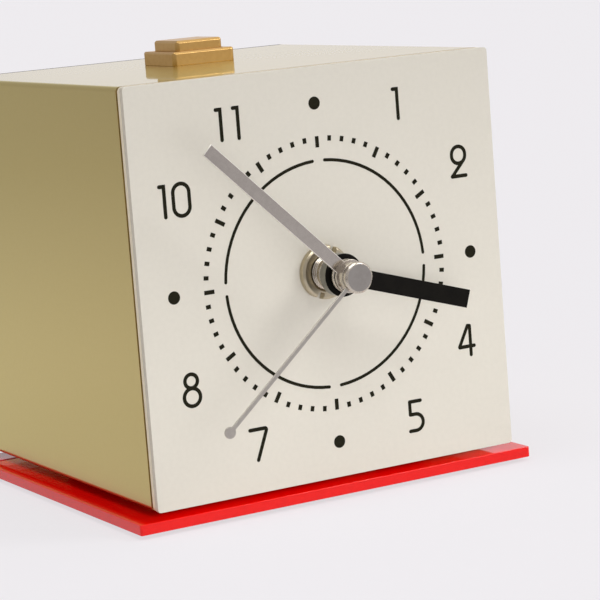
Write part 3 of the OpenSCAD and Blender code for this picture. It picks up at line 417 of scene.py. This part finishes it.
tick_w, tick_r, tick_l = 0.97, 31.4, 1.25
bar_w, bar_r, bar_l = 0.98, 30.7, 2.6
for mark in range(60):
    aim = math.radians(90 - 6 * mark)
    width, middle, length = (bar_w, bar_r, bar_l) if mark % 5 == 0 else (tick_w, tick_r, tick_l)
    inner = middle - length / 2
    pen(width, inner * math.cos(aim), inner * math.sin(aim), 90 - 6 * mark, length, ends="ss")
dot_r, dot_place = 1.5, 39.6
for quarter in range(4):
    aim = math.radians(90 * quarter)
    disc(dot_place * math.cos(aim), dot_place * math.sin(aim), dot_r, segments=48)
ring_r, ring_w, ring_gap = 26.4, 0.75, 3.2
gap_half = math.degrees(ring_gap / 2 / ring_r)
for quarter in range(4):
    start = math.radians(90 * quarter + gap_half)
    pen(ring_w, ring_r * math.cos(start), ring_r * math.sin(start), 90 + 90 * quarter + gap_half,
        (ring_r, 90 - 2 * gap_half))

stroke = 0.88
half = stroke / 2


def one(stem_x, top, flag=1.1, stem=6.9):
    """Draws a figure one: a short flag to the left of the top of a stem."""
    pen(stroke, stem_x - flag, top, 0, flag + half, ends="rs")
    pen(stroke, stem_x, top + half, -90, stem + half, ends="sr")


# The ones of 1, 11 and 10, and then the nought of 10
for stem_x, top in ((22.2, 40.65), (-24.35, 40.65), (-20.0, 40.65), (-39.95, 25.1)):
    one(stem_x, top)
pen(stroke, -33.75, 20.05, 90, 3.25, (2.0, 180), 3.25, (2.0, 180), ends="ss")
# The 2
pen(stroke, 39.85, 23.21, 90, 0.31, (1.85, 180), 0.31, (1.85, 180), ends="ss")
pen(stroke, 39.36, 21.95, -133, 4.92)
pen(stroke, 36.0, 18.35, 0, 3.85)
# The 4
pen(stroke, 37.95, -17.75, -90, 7.0)
pen(stroke, 37.35, -17.65, -117.5, 5.52)
pen(stroke, 34.85, -22.65, 0, 4.1)
pen(stroke, 37.35, -17.65, -10, 0.6)
# The 5
pen(stroke, 19.75, -33.45, 0, 3.0)
pen(stroke, 19.75, -33.45, -90, 3.1)
pen(stroke, 19.75, -36.55, 0, 1.45, (1.975, -180), 1.7)
# The 7
pen(stroke, -23.25, -33.1, 0, 3.85, (0.4, -111.5), 7.1)
# The 8
pen(stroke, -35.53, -19.35, 90, (1.57, 359.9), ends="ss")
pen(stroke, -35.07, -23.05, 90, (2.03, 359.9), ends="ss")

bmesh.ops.recalc_face_normals(ink_sheet, faces=ink_sheet.faces)
for face in ink_sheet.faces:
    if face.normal.z < 0:
        face.normal_flip()
bmesh.ops.translate(ink_sheet, verts=ink_sheet.verts, vec=(0, 0, ink_top))
bmesh.ops.solidify(ink_sheet, geom=ink_sheet.faces, thickness=ink_depth)
bmesh.ops.transform(ink_sheet, matrix=dial_mm, verts=ink_sheet.verts)
bmesh.ops.recalc_face_normals(ink_sheet, faces=ink_sheet.faces)
black_ink = finish("black_ink", (29, 27, 16), (35, 33, 20), blotch=900, rough=(0.6, 0.75), bump=2e-6,
                   grain=5000, Specular_IOR_Level=0.1)
make_piece("dial_print", ink_sheet, "case", "black_hand", black_ink)


# Rear cover: a black moulding with a deep recess for the knob and the battery bay.
# Its ring plugs into the sleeve, and its skin is spark-eroded to a fine matt grain.
grained_black = finish("grained_black", (30, 29, 28), (38, 37, 36), blotch=150, rough=(0.5, 0.65),
                       bump=1.5e-5, grain=1800)
cover = merged_copy("rear_cover")
soften(cover, width=0.0002)
make_piece("moulded_rear_cover", cover, "case", "dark_plastic", grained_black, "rear_cover")


# Tie bolts: four long steel bolts from the rear cover into the carrier.
# They hold the sleeve between the two mouldings.
bolts = merged_copy("tie_bolts")
soften(bolts, width=0.0002)
make_piece("plated_tie_bolts", bolts, "case", "steel", bright_steel, "tie_bolts")


# Battery: one round cell in a plain steel jacket, between a contact plate and a coned spring.
# The door over it is a thin moulding that slides sideways under four hooks.
def wind_spring(wire_r, low_r, high_r, length, turns, place, steps_round=32):
    """Winds round wire up along Z between two radii, in millimetres, and puts it in its place."""
    bm = bmesh.new()
    bmesh.ops.create_circle(bm, cap_ends=True, segments=12, radius=wire_r)
    stand = Matrix.Translation((low_r, 0, wire_r)) @ Matrix.Rotation(math.radians(90), 4, "X")
    bmesh.ops.transform(bm, matrix=stand, verts=bm.verts)
    steps = int(turns * steps_round)
    rise = length - 2 * wire_r
    bmesh.ops.spin(bm, geom=bm.verts[:] + bm.edges[:] + bm.faces[:], cent=(0, 0, 0), axis=(0, 0, 1),
                   angle=math.tau * turns, steps=steps, dvec=(0, 0, rise / steps))
    for vert in bm.verts:
        part = min(max((vert.co.z - wire_r) / rise, 0), 1)
        radius = math.hypot(vert.co.x, vert.co.y)
        wider = (radius + (high_r - low_r) * part) / radius
        vert.co.x, vert.co.y = vert.co.x * wider, vert.co.y * wider
    bmesh.ops.transform(bm, matrix=place @ Matrix.Scale(0.001, 4), verts=bm.verts)
    bmesh.ops.recalc_face_normals(bm, faces=bm.faces)
    return bm


cell_jacket = finish("cell_jacket", (120, 124, 130), (134, 138, 144), blotch=60, rough=(0.3, 0.4),
                     bump=2e-6, grain=2000, Metallic=0.4)
spring_wire = finish("spring_wire", (168, 166, 162), (190, 188, 184), blotch=900, rough=(0.2, 0.35),
                     bump=2e-6, grain=5000, Metallic=1)
cell = merged_copy("battery")
soften(cell, width=0.0005)
make_piece("round_cell", cell, "case", "battery_jacket", cell_jacket, "battery")
dress("battery_contacts", spring_wire)
cone_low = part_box("battery_spring")[0]
cell_y, cell_z = 0.0344, 0.0283
cone_foot = Matrix.Translation((cone_low[0], cell_y, cell_z)) @ Matrix.Rotation(math.radians(90), 4, "Y")
cone = wind_spring(wire_r=0.35, low_r=5.1, high_r=2.7, length=5.5, turns=4, place=cone_foot)
make_piece("coned_spring", cone, "case", "spring_steel", spring_wire, "battery_spring")
door = merged_copy("battery_door")
soften(door, width=0.0002)
make_piece("sliding_door", door, "door", "dark_plastic", grained_black, "battery_door")


# Movement: a moulded case in two halves, with the middle plate between them.
# A nickel-plated threaded tube is pressed into the front half and passes through the dial.
hub_x, hub_z = -0.00095, 0.054
hub_mm = (Matrix.Translation((hub_x, dial_front, hub_z)) @ Matrix.Rotation(math.radians(90), 4, "X")
          @ Matrix.Scale(0.001, 4))
from_hub = hub_mm.inverted()
case_moulding = finish("case_moulding", (40, 40, 42), (50, 50, 52), blotch=150, rough=(0.4, 0.55),
                       bump=8e-6, grain=2500)


def cut_across(bm, height, keep_behind=False):
    """Cuts a piece across at a height above the dial, and gives the edges of the cut."""
    cut = bmesh.ops.bisect_plane(bm, geom=bm.verts[:] + bm.edges[:] + bm.faces[:], dist=1e-7,
                                 plane_co=hub_mm @ Vector((0, 0, height)), plane_no=(0, -1, 0),
                                 clear_outer=keep_behind)
    return [g for g in cut["geom_cut"] if isinstance(g, bmesh.types.BMEdge)]


def turned_finish(name, low, high, rough, spacing, depth, **sockets):
    """Metal turned on a lathe, with fine rings round the hands' axis in its relief.

    Spacing is from ring to ring and depth is the height of a ring, both in metres.
    """
    wave_rate = 20
    material = finish(name, low, high, blotch=700, rough=rough, bump=depth, grain=3000, **sockets)
    tree = material.node_tree
    where = next(n for n in tree.nodes if n.type == "TEX_COORD")
    relief = next(n for n in tree.nodes if n.type == "BUMP")
    centred = add_node(tree, "Mapping", Location=(-hub_x, 0, -hub_z))
    rings = add_node(tree, "TexWave", Scale=math.tau / wave_rate / spacing, Distortion=0.6)
    rings.wave_type = "RINGS"
    rings.rings_direction = "Y"
    tree.links.new(where.outputs["Object"], centred.inputs["Vector"])
    tree.links.new(centred.outputs["Vector"], rings.inputs["Vector"])
    tree.links.new(rings.outputs["Fac"], relief.inputs["Height"])
    return material


nickel = turned_finish("nickel", (200, 191, 177), (207, 199, 186), rough=(0.24, 0.3), spacing=0.00022,
                       depth=6e-7, Metallic=1)
moulded_front = merged_copy("movement_front")
tube_start, tube_end = -3.0, 5.2
tube_hole = cut_across(moulded_front, tube_start, keep_behind=True)
bmesh.ops.bridge_loops(moulded_front, edges=tube_hole)
bmesh.ops.recalc_face_normals(moulded_front, faces=moulded_front.faces)
make_piece("moulded_movement_front", moulded_front, "case", "movement_plastic", case_moulding,
           "movement_front")
tube_outer, tube_root, tube_bore = 4.0, 3.86, 2.6
plain_from, plain_r, bevel = 4.5, tube_outer - 0.05, 0.2
thread_pitch, thread_from, thread_turns, thread_steps = 0.75, -2.4, 8, 48
thread_foot, thread_wide = tube_root - 0.08, 0.56


def turn_profile(bm, outline):
    """Spins a closed outline of (radius, height) pairs round Z, in millimetres."""
    corners = [bm.verts.new((radius, 0, height)) for radius, height in outline]
    edges = [bm.edges.new((corners[k - 1], corners[k])) for k in range(len(corners))]
    bmesh.ops.spin(bm, geom=corners + edges, cent=(0, 0, 0), axis=(0, 0, 1), angle=math.tau, steps=96,
                   use_merge=True)


tube = bmesh.new()
turn_profile(tube, [(tube_bore, tube_start), (tube_root, tube_start), (tube_root, plain_from - 0.05),
                    (plain_r, plain_from), (plain_r, tube_end - bevel), (plain_r - bevel, tube_end),
                    (tube_bore + bevel, tube_end), (tube_bore, tube_end - bevel)])
bmesh.ops.remove_doubles(tube, verts=tube.verts, dist=1e-5)
thread = bmesh.new()
thread_outline = ((thread_foot, 0), (tube_outer, thread_wide / 2), (thread_foot, thread_wide))
section = [thread.verts.new((radius, 0, thread_from + height)) for radius, height in thread_outline]
bmesh.ops.spin(thread, geom=section + [thread.faces.new(section)], cent=(0, 0, 0), axis=(0, 0, 1),
               angle=math.tau * thread_turns, steps=thread_steps * thread_turns,
               dvec=(0, 0, thread_pitch / thread_steps))
thread_mesh = bpy.data.meshes.new("thread")
thread.to_mesh(thread_mesh)
thread.free()
tube.from_mesh(thread_mesh)
bpy.data.meshes.remove(thread_mesh)
bmesh.ops.transform(tube, matrix=hub_mm, verts=tube.verts)
bmesh.ops.recalc_face_normals(tube, faces=tube.faces)
make_piece("threaded_tube", tube, "case", "nickel", nickel)
for node in ("movement_rear", "middle_plate"):
    dress(node, case_moulding)
dress("rubber_washer", sheet_rubber)


# Mounting nut: a round turned nut in bright nickel with two notches for a pin spanner.
# It clamps dial plate, carrier and rubber washer against the movement.
def off_axis(point):
    """Distance of a point from the hands' axis, in millimetres."""
    place = from_hub @ point
    return math.hypot(place.x, place.y)


nut = merged_copy("mounting_nut")
bore_edge, rim_from = 4.2, 4.6
soften(nut, width=0.0004, segments=1, wanted=lambda p: off_axis(p) < bore_edge and (from_hub @ p).z > 1)
soften(nut, width=0.00012, segments=2, sharp=20, wanted=lambda p: off_axis(p) > rim_from)
brushed_nickel = turned_finish("brushed_nickel", (188, 177, 152), (196, 185, 160), rough=(0.28, 0.34),
                               spacing=0.0003, depth=8e-7, Metallic=1)
make_piece("nickel_nut", nut, "case", "nickel", brushed_nickel, "mounting_nut")


# Motor: stator of stamped sheet, a coil of enamelled wire, and the circuit board with its four pins.
# All of it is fixed to the middle plate.
copper_winding = finish("copper_winding", (150, 78, 42), (176, 96, 54), blotch=900, rough=(0.3, 0.45),
                        bump=1e-5, grain=6000, Metallic=1)
green_board = finish("green_board", (26, 78, 48), (34, 92, 58), blotch=300, rough=(0.4, 0.5), bump=4e-6,
                     grain=3000)
pin_brass = finish("pin_brass", (196, 160, 84), (208, 174, 100), blotch=700, rough=(0.22, 0.35),
                   bump=2e-6, grain=4000, Metallic=1)
dress("stator", bright_steel)
dress("circuit_board", green_board)
dress("board_pins", pin_brass)
coil_low, coil_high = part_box("coil")
coil_middle = [(low + high) / 2 for low, high in zip(coil_low, coil_high)]
coil_length = (coil_high[0] - coil_low[0]) * 1000
winding = bmesh.new()
wire_turns, flange_t, flange_r, core_r, bore_r, wire_bulge = 40, 1.0, 3.0, 2.4, 0.4, 0.1
wire_step = (coil_length - 2 * flange_t) / wire_turns
outline = [(bore_r, 0), (flange_r, 0), (flange_r, flange_t), (core_r, flange_t)]
outline += [(core_r + wire_bulge * (k % 2), flange_t + wire_step * k / 2)
            for k in range(1, 2 * wire_turns)]
outline += [(core_r, coil_length - flange_t), (flange_r, coil_length - flange_t), (flange_r, coil_length),
            (bore_r, coil_length)]
turn_profile(winding, outline)
bmesh.ops.remove_doubles(winding, verts=winding.verts, dist=1e-5)
lay_along_x = (Matrix.Translation((coil_low[0], coil_middle[1], coil_middle[2]))
               @ Matrix.Rotation(math.radians(90), 4, "Y") @ Matrix.Scale(0.001, 4))
bmesh.ops.transform(winding, matrix=lay_along_x, verts=winding.verts)
bmesh.ops.recalc_face_normals(winding, faces=winding.faces)
make_piece("wound_coil", winding, "case", "copper", copper_winding, "coil")


# Train: moulded wheels and pinions that step the motor down to the three hands.
# Each wheel is one moulding with its arbor.
wheel_moulding = finish("wheel_moulding", (214, 208, 192), (226, 221, 207), blotch=300,
                        rough=(0.35, 0.45), bump=4e-6, grain=3000)
for node in ("rotor", "intermediate_wheel", "second_wheel", "third_wheel", "minute_wheel", "motion_wheel",
             "hour_wheel"):
    dress(node, wheel_moulding)


# Hour hand: a broad bar and disc blanked from sheet and painted matt black.
# A turned steel collet behind the disc is pushed on the tube of the hour wheel.
def two_finishes(piece, second_finish, wanted):
    """Gives the faces that are wanted, by reach from the axis, height and facing, a second finish."""
    piece.data.materials.append(second_finish)
    for face in piece.data.polygons:
        reach = max(off_axis(piece.data.vertices[k].co) for k in face.vertices)
        if wanted(reach, (from_hub @ face.center).z, -face.normal.y):
            face.material_index = len(piece.data.materials) - 1


hand_black = finish("hand_black", (14, 12, 9), (19, 17, 13), blotch=300, rough=(0.6, 0.72), bump=2e-6,
                    grain=4000, Specular_IOR_Level=0.1)
# The collet's steel is tinted dark: a painted reflection of the dark surroundings that its polished side
# shows.
reflection_darkened_steel = turned_finish("reflection_darkened_steel", (120, 118, 110), (136, 134, 126), rough=(0.18, 0.26),
                           spacing=0.00022, depth=1e-6, Metallic=1)
hour = merged_copy("hour_hand")
soften(hour, width=0.00008, segments=2)
hour_piece = make_piece("black_hour_hand", hour, "hours", "black_hand", hand_black, "hour_hand")
collet_top, collet_bore, collet_rim = 8.9, 2, 5.1
two_finishes(hour_piece, reflection_darkened_steel,
             lambda r, h, facing: h < collet_top and collet_bore < r < collet_rim and abs(facing) < 0.5)


# Minute hand: a polished grey bar with a turned boss, pushed on the minute tube.
# A shallow groove runs round the boss where the bar is riveted to it.
polished_grey = finish("polished_grey", (190, 183, 175), (195, 188, 180), blotch=900, rough=(0.14, 0.2),
                       bump=5e-7, grain=4000, Metallic=1)
minute = merged_copy("minute_hand")
soften(minute, width=0.00014, segments=2)
groove_levels, groove_narrowing, boss_r = (11.3, 11.4, 11.55, 11.65), 0.96, 4.2
for height in groove_levels:
    cut_across(minute, height)
groove = [v for v in minute.verts if off_axis(v.co) > 3
          and groove_levels[0] + 0.05 < (from_hub @ v.co).z < groove_levels[3] - 0.05]
bmesh.ops.scale(minute, vec=(groove_narrowing, 1, groove_narrowing), verts=groove,
                space=Matrix.Translation((-hub_x, 0, -hub_z)))
minute_piece = make_piece("grey_minute_hand", minute, "minutes", "grey_hand", polished_grey,
                          "minute_hand")
bright_edge = finish("bright_edge", (236, 231, 222), (242, 237, 228), blotch=900, rough=(0.3, 0.4),
                     bump=5e-7, grain=4000, Metallic=1)
two_finishes(minute_piece, nickel, lambda r, h, facing: r < boss_r)
two_finishes(minute_piece, bright_edge, lambda r, h, facing: r > boss_r and abs(facing) < 0.95)


# Second hand: a thin grey pointer with a disc near its tip, on a long polished boss.
# A turned cap with a bright chamfer is pressed on the end of the axis.
light_grey = finish("light_grey", (180, 174, 166), (188, 182, 174), blotch=900, rough=(0.28, 0.32),
                    bump=3e-7, grain=4000, Metallic=1)
second = merged_copy("second_hand")
soften(second, width=0.00008, segments=2)
second_piece = make_piece("grey_second_hand", second, "seconds", "grey_hand", light_grey, "second_hand")
pointer_from = 3.5
two_finishes(second_piece, nickel, lambda r, h, facing: r < pointer_from)
cap_face = turned_finish("cap_face", (158, 153, 148), (164, 159, 154), rough=(0.4, 0.5),
                         spacing=0.00018, depth=1e-6, Metallic=1)
cap = merged_copy("second_cap")
soften(cap, width=0.00012, segments=3, sharp=20)
cap_piece = make_piece("turned_cap", cap, "seconds", "nickel", nickel, "second_cap")
cap_front = 16
two_finishes(cap_piece, cap_face, lambda r, h, facing: facing > 0.99 and h > cap_front)


# Setting knob: a ridged black knob on a long stem, reached from behind.
# It turns the motion wheel, and with it the hour and minute hands.
dress("setting_stem", wheel_moulding)
knob = merged_copy("setting_knob")
soften(knob, width=0.00015, segments=2)
make_piece("ridged_knob", knob, "setting", "black_plastic", black_moulding, "setting_knob")


# Top button: a square key in a square bezel, both plated in satin gold.
# The bezel's threaded barrel is held by a nut inside the sleeve, with the key's spring and pins in it.
button_gold = finish("button_gold", (206, 166, 102), (211, 172, 108), blotch=900, rough=(0.28, 0.34),
                     bump=1e-6, grain=3000, Metallic=1)
housing = merged_copy("button_housing")
soften(housing, width=0.0002)
make_piece("square_bezel", housing, "case", "button_gold", button_gold, "button_housing")
key = merged_copy("top_button")
soften(key, width=0.0002)
make_piece("square_key", key, "button", "button_gold", button_gold, "top_button")
dress("button_nut", bright_steel)
dress("button_pins", pin_brass)
spring_foot = (0, 0.0115, 0.0893)
spring_length, key_travel = 6, 2
wound = wind_spring(wire_r=0.3, low_r=3.4, high_r=3.4, length=spring_length, turns=4,
                    place=Matrix.Translation(spring_foot))
return_spring = make_piece("return_spring", wound, "case", "spring_steel", spring_wire, "button_spring")
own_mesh(return_spring)


# Leads: thin insulated wires from the battery contacts and the button to the circuit board.
# They hang loosely inside the case, soldered at both ends.
lead_sheath = finish("lead_sheath", (150, 24, 22), (166, 32, 28), blotch=200, rough=(0.4, 0.5),
                     bump=4e-6, grain=3000)
lead_r = 0.6


def run_leads(name, node, *routes):
    """Draws round leads through their points, in millimetres on the dial's frame."""
    line = bpy.data.curves.new(name, "CURVE")
    line.dimensions = "3D"
    line.bevel_depth = lead_r
    line.bevel_resolution = 3
    line.resolution_u = 10
    line.use_fill_caps = True
    for route in routes:
        points = [Vector(p) for p in route]
        spline = line.splines.new("BEZIER")
        spline.bezier_points.add(len(points) - 1)
        for k, (knot, point) in enumerate(zip(spline.bezier_points, points)):
            lean = (points[min(k + 1, len(points) - 1)] - points[max(k - 1, 0)]) / 6
            knot.co, knot.handle_left, knot.handle_right = point, point - lean, point + lean
    drawn = bpy.data.objects.new(name, line)
    bm = bmesh.new()
    tube_mesh = drawn.to_mesh()
    bm.from_mesh(tube_mesh)
    drawn.to_mesh_clear()
    bpy.data.objects.remove(drawn)
    bmesh.ops.transform(bm, matrix=dial_mm, verts=bm.verts)
    bmesh.ops.remove_doubles(bm, verts=bm.verts, dist=1e-7)
    bmesh.ops.recalc_face_normals(bm, faces=bm.faces)
    make_piece(name, bm, "case", "lead_sheath", lead_sheath, node)


run_leads("cell_leads", "battery_leads",
          [(28.45, -25, -72.3), (28.45, -25, -68.3), (27, -22, -45), (19, -8, -30), (17.05, -3.3, -21.9),
           (17.05, -3.3, -19.9)],
          [(-28.45, -25, -72.3), (-28.45, -25, -68.3), (-15, -31, -50), (5, -25, -40), (16, -14, -30),
           (17.05, -8.3, -21.9), (17.05, -8.3, -19.9)])
run_leads("button_leads", "switch_leads",
          [(-1.5, 29, -61.5), (-1.5, 25, -61.5), (6, 17, -38), (17.05, 10, -27), (17.05, 9.7, -21.9),
           (17.05, 9.7, -19.9)],
          [(1.5, 29, -61.5), (1.5, 25, -61.5), (9, 14, -36), (17.05, 5, -27), (17.05, 4.7, -21.9),
           (17.05, 4.7, -19.9)])
